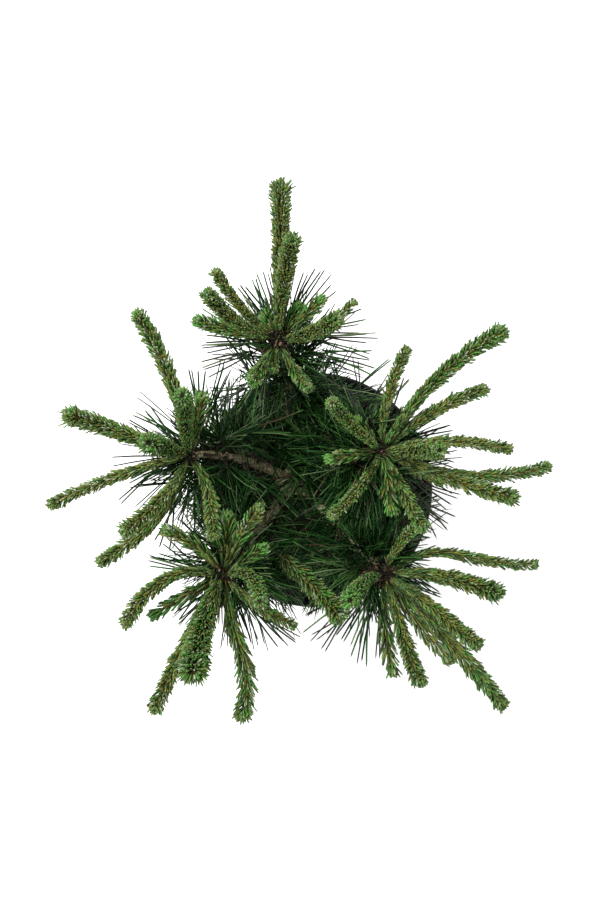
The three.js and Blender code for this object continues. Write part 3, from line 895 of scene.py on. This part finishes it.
def solid_shoot(node, near):
    """Centre line of a shoot's solid, from the foot that is nearer to a point, and its girth."""
    bm = bmesh.new()
    bm.from_mesh(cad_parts[node].data)
    bmesh.ops.remove_doubles(bm, verts=bm.verts, dist=1e-6)
    poles = [v for v in bm.verts if len(v.link_edges) == shoot_sides]
    foot = min(poles, key=lambda v: (v.co - Vector(near)).length)
    seen, ring, middles, girth = {foot}, [foot], [np.array(foot.co)], 0
    while True:
        ring = list({e.other_vert(v) for v in ring for e in v.link_edges} - seen)
        if not ring:
            break
        seen |= set(ring)
        middle = np.mean([v.co for v in ring], axis=0)
        middles.append(middle)
        girth = max(girth, 2 * np.mean([np.linalg.norm(np.array(v.co) - middle) for v in ring]))
    bm.free()
    middles = np.array(middles)
    steps = np.concatenate([[0], np.cumsum(np.linalg.norm(np.diff(middles, axis=0), axis=1))])
    t = np.linspace(0, steps[-1], 40)
    smooth = np.stack([np.polyval(np.polyfit(steps, middles[:, axis], 3), t) for axis in range(3)], 1)
    return smooth, girth


def low_shoot(centre, bearing, reach, rise, girth, bow):
    """Line of a short shoot that the CAD model leaves out, low in its whorl, and its girth."""
    angle = math.radians(bearing)
    t = np.linspace(0.15, 1, 40)
    side = 4 * bow * t * (1 - t)
    x = centre[0] + reach * t * math.cos(angle) - side * math.sin(angle)
    y = centre[1] + reach * t * math.sin(angle) + side * math.cos(angle)
    return np.stack([x, y, centre[2] + rise * (0.08 + 0.92 * t**1.3)], 1), girth


def led_from(foot, line):
    """A line with a straight piece before it."""
    return np.concatenate([np.linspace(foot, line[0], 6)[:-1], line])


def trained(line, key, tuft, girth):
    """A shoot's line on its own course, with its end turned up."""
    t = np.linspace(0, 1, 60)
    turning, least_girth, off_tuft = 0.024, 0.006, 0.6
    length = along_line(line, [0])[2]
    share, (bow, swing) = shortened.get(key, 1), courses.get(key, (0, 0))
    if key in upturned:
        share -= off_tuft * tuft / length
    line, way, _ = along_line(line, t * share)
    side = 4 * bow * t * (1 - t) - swing * np.sin(2 * math.pi * t)
    line[:, :2] += side[:, None] * (-way[0, 1], way[0, 0])
    lift = upturned.get(key, 0.5 * (girth - least_girth))
    line[:, 2] += lift * np.clip(1 - (1 - t) * length / turning, 0, 1) ** 2
    return line


def blade_slots(rng, bunch, neck, tone, shade, inner, rosette, westward):
    """Slot of each face of a shoot's needles. They are husky and darkened by painted shade at the foot of
    the shoot, more so in a shaded whorl, and towards its end painted highlights grow: on a few whole
    needles and on the points of those that face up. Shoots in the middle of the crown are painted
    lighter against its shade, with fewer highlights."""
    share, count = bunch["share"], len(bunch["share"])

    def some(chance):
        return rng.uniform(size=count) < chance

    fresh = 0.03 + 0.45 * (1 - tone) ** 2
    # Needles that face up take the sunny mix, yellower and partly painted light, and the rest the flank mix.
    # In the middle of the crown both mixes are painted lighter against its shade.
    flank = np.array((0.22 - 0.06 * inner, 0.3, 0.06 + 0.3 * tone, 0.22 + 0.14 * inner, fresh + 0.08))
    sunny = np.array((0.24 - 0.06 * inner, 0.14, 0.1 + 0.6 * tone, 0.16 + 0.12 * inner, fresh))
    on_top = bunch["upper"] + rng.normal(0, 0.15, count) > 0.62
    blades = np.where(
        on_top,
        rng.choice(blade_kinds, count, p=sunny / sunny.sum()),
        rng.choice(blade_kinds, count, p=flank / flank.sum()),
    )
    blades = np.where((blades == OLIVE) & some(2.4 * share - 1.4), GREEN, blades)
    # Painted shade at the feet of shoots, deeper in a shaded whorl: needles there turn to husk, shade green
    # and green.
    shadow = np.clip(1 - share / 0.45, 0, 1) * 0.7 + 0.3 * (shade - 0.3)
    # Painted shade dims the leaf and green of a shaded whorl's shoots, and of the west whorl's rosettes.
    painted_dimming = 0.35 if westward else max(0, shade - 0.4)
    blades = np.where((blades == LEAF) & some(painted_dimming), GREEN, blades)
    blades = np.where((blades == GREEN) & some(0.5 * painted_dimming), SHADE, blades)
    blades = np.where(some(shadow), rng.choice([HUSK_SHADE, SHADE, GREEN], count, p=[0.32, 0.44, 0.24]), blades)
    # Painted highlights: a few whole needles turn pale, more towards the end of a shoot, fewer in a shaded
    # whorl and in the middle of the crown, and half as many in the west whorl's rosettes.
    sunlit = np.clip(2.2 * share - 0.3, 0, 1) * (1 - 0.6 * shade)
    sunlit *= (1 - 0.6 * inner) * (0.5 if westward else 1)
    blades = np.where(some(0.09 * sunlit), GLINT, blades)
    # The feet of most needles in a rosette's tuft take the husk colour: brown round its bud, and painted
    # shade in its heart.
    shaded_heart = (share > neck) & some(0.8)
    feet = np.where(shaded_heart, HUSK_SHADE, blades) if rosette else blades
    if tone < 0.15:
        blades = np.where((share > neck - 0.1) & some(0.4), FRESH, blades)
    # Painted highlights on the points of needles that face up, on the sunlit share of them.
    points = np.where(on_top, sunlit_points[blades], blades)
    points = np.where(some(1 - sunlit), blades, points)
    upper = np.where(face_heights < 0.85, blades[:, None], points[:, None])
    return np.where(face_heights < 0.4, feet[:, None], upper)


def stem_radius(share, _):
    return np.minimum(0.4 + 4 * share, 1.05 - 0.3 * share)


young_shape = unit_shape(rod(3, [(0, 0.7), (0.45, 0.9), (0.86, 0.95), (1, 0)]))
face_heights = np.array([young_shape[0][face, 2].mean() for face in young_shape[1]])
young_thickness, young_width, sheathed = 0.00066, 0.00088, 5
crown_middle, shaded_within, shade_fades = (-0.015, 0.03), 0.16, 0.1
needle_inset, usual_girth, thin_girth, stoutest_stem = 0.0004, 0.016, 0.012, 0.0023
stems = bmesh.new()
sheaths, buds = [], []
for seed, name in enumerate(whorls, 300):
    rng = np.random.default_rng(seed)
    centre = np.array(whorls[name])
    nodes = sorted(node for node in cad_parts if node.startswith("shoot_" + name + "_"))
    shoots = []
    for node in nodes:
        key = node.removeprefix("shoot_")
        habit = "dense" if key in upturned else "plain"
        habit = next((own for own, keys in own_habits.items() if key in keys), habit)
        tone = tones[name][int(key.rpartition("_")[2]) - 1]
        shoots.append((key, habit, tone, *solid_shoot(node, centre)))
    if name == "southwest":
        nodes.append("shoot_south_low")
        shoots.append(("south_low", "stubby", 0.25, *solid_shoot("shoot_south_low", south_fork)))
    shoots += [("low", habit, tone, *low_shoot(centre, *low)) for habit, tone, *low in low_shoots[name]]
    bunches, tints, broads = [], [], []
    for key, habit, tone, line, girth in shoots:
        rosette, whorl = key in upturned, key.rpartition("_")[0]
        # Rosettes of the west whorl are dimmed by painted shade and have half the painted highlights, and the
        # southeast whorl's upturned shoot takes only the usual painted shade.
        westward = rosette and whorl == "west"
        shade = usual_shade if key == "southeast_7" else shadows.get(whorl, usual_shade)
        stretch, spacing, lean, rising, tufting, crown = habits[habit]
        if np.linalg.norm(line[0] - centre) < hub_radius:
            line = led_from(line[0] + hubs.get(name, usual_hub) * (centre - line[0]), line)
        if key == "south_low":
            line = led_from(line[0] + south_spur, line)
        room = fuller.get(key, 1) * (girth / 2 - needle_inset)
        needle, tuft = stretch * room, tufting * clubs.get(key, 1) * room
        line = trained(line, key, tuft, girth)
        length = along_line(line, [0])[2]
        spacing *= usual_girth / max(girth, thin_girth)
        lengths = (1.1 * needle, 1.05 * needle, needle, needle, 0.95 * needle)
        lengths += (0.3 * needle + 0.7 * tuft, tuft)
        sunk, head = 0.75, (tuft, 0.88 * tuft, 0.78 * tuft)
        if rosette:
            sunk, head, crown = 0.66, (tuft, 0.85 * tuft, 0.66 * tuft), (60, 52, 45, 36)
        neck, top = 1 - tuft / length, 1 - sunk * tuft / length
        set_in = {"jitter": 0.25, "spread": 9}
        bunch = gather(
            [
                needle_pairs(rng, line, 0.01, neck, spacing, 0.0013, lean, lengths, lift=rising, **set_in),
                needle_pairs(rng, line, neck, top, tuft / 95, 0.0009, crown, head, lift=0.25, **set_in),
            ]
        )
        in_tuft = bunch["share"] > neck
        bunch["length"] *= np.where(in_tuft, rng.uniform(0.78, 1.04, len(in_tuft)), 1)
        bunches.append(bunch)
        # Shoots near the middle of the crown are painted lighter against its shade, with fewer painted
        # highlights.
        away = math.hypot(*(line[30, :2] - crown_middle))
        inner = min(1, max(shaded_within - away, 0) / shade_fades)
        tints.append(blade_slots(rng, bunch, neck, tone, shade, inner, rosette, westward))
        broads.append(np.where(in_tuft, 1.25, 1) * (1.15 if habit == "open" else 1))
        stem_end = neck + 0.1 * tuft / length
        core = along_line(line, np.linspace(0, stem_end, 40))[0]
        stout = min(0.15 * girth, stoutest_stem)
        limb(stems, core, stout, stem_radius, sides=8, relief=0.0003, pitch=0.002)
        (end,), (way,), _ = along_line(line, [stem_end])
        buds.append((end, way, 1.5 if rosette else 0.8))
    bunch, broad = gather(bunches), np.concatenate(broads)
    bow = bunch["forward"] * (0.07 * bunch["length"])[:, None]
    strewn(
        "young_needles_" + name,
        young_shape,
        bunch,
        np.stack([young_thickness * broad, young_width * broad, bunch["length"]], 1),
        np.concatenate(tints),
        young_greens,
        "young_needles",
        *nodes,
        bend=bow + rng.normal(0, 0.0005, bow.shape),
    )
    sheaths.append(chosen(bunch, slice(None, None, sheathed)))

stem_green = patched(
    "new_stem",
    ((0.075, 0.068, 0.018), (0.21, 0.19, 0.04)),
    roughness=(0.6, 0.8), specular=0.3, bump=0.5, depth=0.0005,
    Scale=300, Low=0.35, High=0.65,
)
placed("new_stems", stems, stem_green, "bark")

papers = [
    finish("sheath_brown", (0.08, 0.055, 0.018), 0.8, 0.15),
    finish("sheath_olive", (0.13, 0.12, 0.024), 0.8, 0.15),
    finish("sheath_pale", (0.2, 0.17, 0.055), 0.8, 0.15),
]
sheath_width, sheath_length = 0.0006, 0.0016
bunch = gather(sheaths)
count = len(bunch["length"])
strewn(
    "sheaths",
    unit_shape(rod(3, [(0, 1), (1, 0.7)])),
    bunch,
    np.tile((sheath_width, sheath_width, sheath_length), (count, 1)),
    np.random.default_rng(7).choice(3, count, p=[0.5, 0.35, 0.15]),
    papers,
    "bark",
)

bud_browns = [
    finish("bud_dark", (0.008, 0.006, 0.004), 0.6, 0.2),
    finish("bud_brown", (0.04, 0.026, 0.016), 0.6, 0.2),
    finish("bud_rust", (0.15, 0.1, 0.062), 0.6, 0.2),
]
middle_bud, side_bud = np.array((0.0014, 0.0014, 0.0042)), np.array((0.001, 0.001, 0.0032))
side_buds, off_middle, bud_splay = 4, 0.0011, 0.35
scale_cluster, cluster_shift = (1.2, 0.95, 0.45), (-0.002, 0.001, 0.004)
# Number of the papery scales about a whorl's centre, and how far they spread
scales = {
    "north": (260, 0.014),
    "west": (90, 0.008),
    "east": (80, 0.009),
    "southwest": (110, 0.0085),
    "southeast": (280, 0.013),
}
scale_thickness, scale_widths, scale_lengths = 0.0005, (0.0007, 0.0019), (0.003, 0.007)
rng = np.random.default_rng(17)
origin, along, size = [], [], []
for end, way, plump in buds:
    (side,), (up,) = cross_ways(way[None])
    origin.append(end)
    along.append(way)
    size.append(middle_bud * plump)
    for turn in rng.uniform(0, 0.6) + np.arange(side_buds) * math.pi / 2:
        out = side * math.cos(turn) + up * math.sin(turn)
        origin.append(end + out * off_middle)
        along.append(unit(way + bud_splay * out))
        size.append(side_bud * plump)
bud_tints = rng.choice(2, len(origin), p=[0.6, 0.4])
for name, (number, spread) in scales.items():
    for _ in range(number):
        out = unit(rng.normal(size=3)) * rng.uniform(0.1, 1) * scale_cluster
        origin.append(np.array(whorls[name]) + out * spread + cluster_shift)
        along.append(unit(out + rng.normal(0, 0.6, 3) + (0, 0, 0.2)))
        size.append((scale_thickness, rng.uniform(*scale_widths), rng.uniform(*scale_lengths)))
scale_tints = rng.choice(3, len(size) - len(bud_tints), p=[0.45, 0.37, 0.18])
along = np.array(along)
strewn(
    "buds",
    unit_shape(rod(5, [(0, 0.6), (0.3, 1), (0.7, 0.75), (1, 0)])),
    {"origin": np.array(origin), "along": along, "across": cross_ways(along)[0]},
    np.array(size),
    np.concatenate([bud_tints, scale_tints]),
    bud_browns,
    "bark",
)

# ---- Floor, light and camera ----
# A pale sweep of paper, a large soft light high on the left, and even light from all round. The camera
# looks straight down on the plant.

floor = bmesh.new()
bmesh.ops.create_grid(floor, x_segments=2, y_segments=2, size=3)
paper = finish("pale_paper", (0.9, 0.9, 0.9), 1.0, 0.0)
glow = paper.node_tree.nodes["Principled BSDF"].inputs
glow["Emission Color"].default_value = (1, 1, 1, 1)
glow["Emission Strength"].default_value = 0.35
floor_mesh = bpy.data.meshes.new("floor")
floor.to_mesh(floor_mesh)
floor.free()
floor_mesh.materials.append(paper)
floor_object = bpy.data.objects.new("floor", floor_mesh)
bpy.context.scene.collection.objects.link(floor_object)

scene = bpy.context.scene
scene.view_settings.view_transform = "Standard"
world = bpy.data.worlds.new("studio")
world.use_nodes = True
world.node_tree.nodes["Background"].inputs["Color"].default_value = (1, 1, 1, 1)
world.node_tree.nodes["Background"].inputs["Strength"].default_value = 1.0
scene.world = world

lamp = bpy.data.lights.new("softbox", "AREA")
lamp.shape = "DISK"
lamp.size = 1.2
lamp.energy = 60
softbox = bpy.data.objects.new("softbox", lamp)
softbox.location = (-0.9, 0.8, 2.2)
softbox.rotation_euler = (Vector((0, 0, 0.25)) - softbox.location).to_track_quat("-Z", "Y").to_euler()
scene.collection.objects.link(softbox)

lens = bpy.data.cameras.new("camera")
lens.lens = 54.84
lens.clip_start = 0.05
camera = bpy.data.objects.new("camera", lens)
camera.location = (-0.0144, 0.0385, 1.5)
scene.collection.objects.link(camera)
scene.camera = camera
